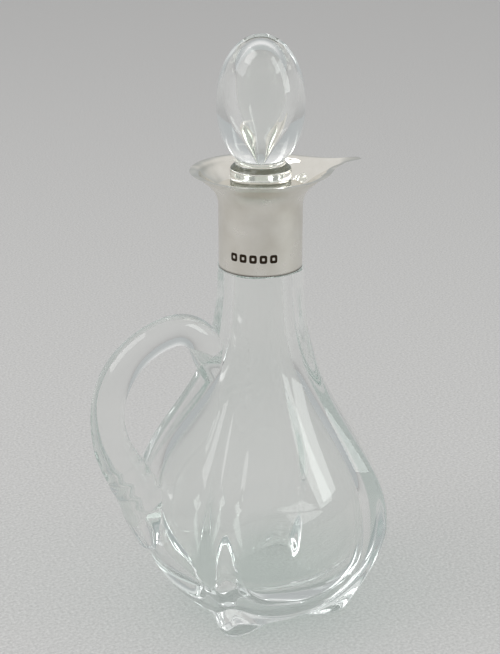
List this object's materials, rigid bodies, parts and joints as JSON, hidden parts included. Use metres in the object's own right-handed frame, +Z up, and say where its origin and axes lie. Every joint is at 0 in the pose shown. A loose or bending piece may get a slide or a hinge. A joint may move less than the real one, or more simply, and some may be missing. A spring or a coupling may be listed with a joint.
{
  "type": "cruet bottle",
  "caption": "Ribbed clear glass oil cruet on a square foot, with an applied loop handle, a silver collar drawn out to a pouring lip, and a loose egg-shaped ground glass stopper",
  "frame": {"origin": "middle of the flat underside of the glass foot, on the bottle's own axis", "axes": "+Z up along the bottle's axis, +X towards the pouring lip, handle on -X, ribs on the diagonals"},
  "size_m": [0.0947, 0.0766, 0.185],
  "materials": {
    "clear_glass": "fire-polished hand-blown clear glass",
    "stopper_glass": "clear glass, polished egg with a fine-ground plug",
    "silver": "old hand-polished silver, satin sleeve and bright dished lip",
    "plaster": "matte white plaster of Paris"
  },
  "bodies": {
    "bottle": {"bottle": "clear_glass", "handle": "clear_glass", "collar": "silver", "collar_cement": "plaster"},
    "stopper": {"stopper": "stopper_glass"}
  },
  "joints": [
    {"name": "stopper_lift", "type": "slide", "parent": "bottle", "child": "stopper", "axis": [0, 0, 1], "range_m": [0, 0.04]}
  ]
}
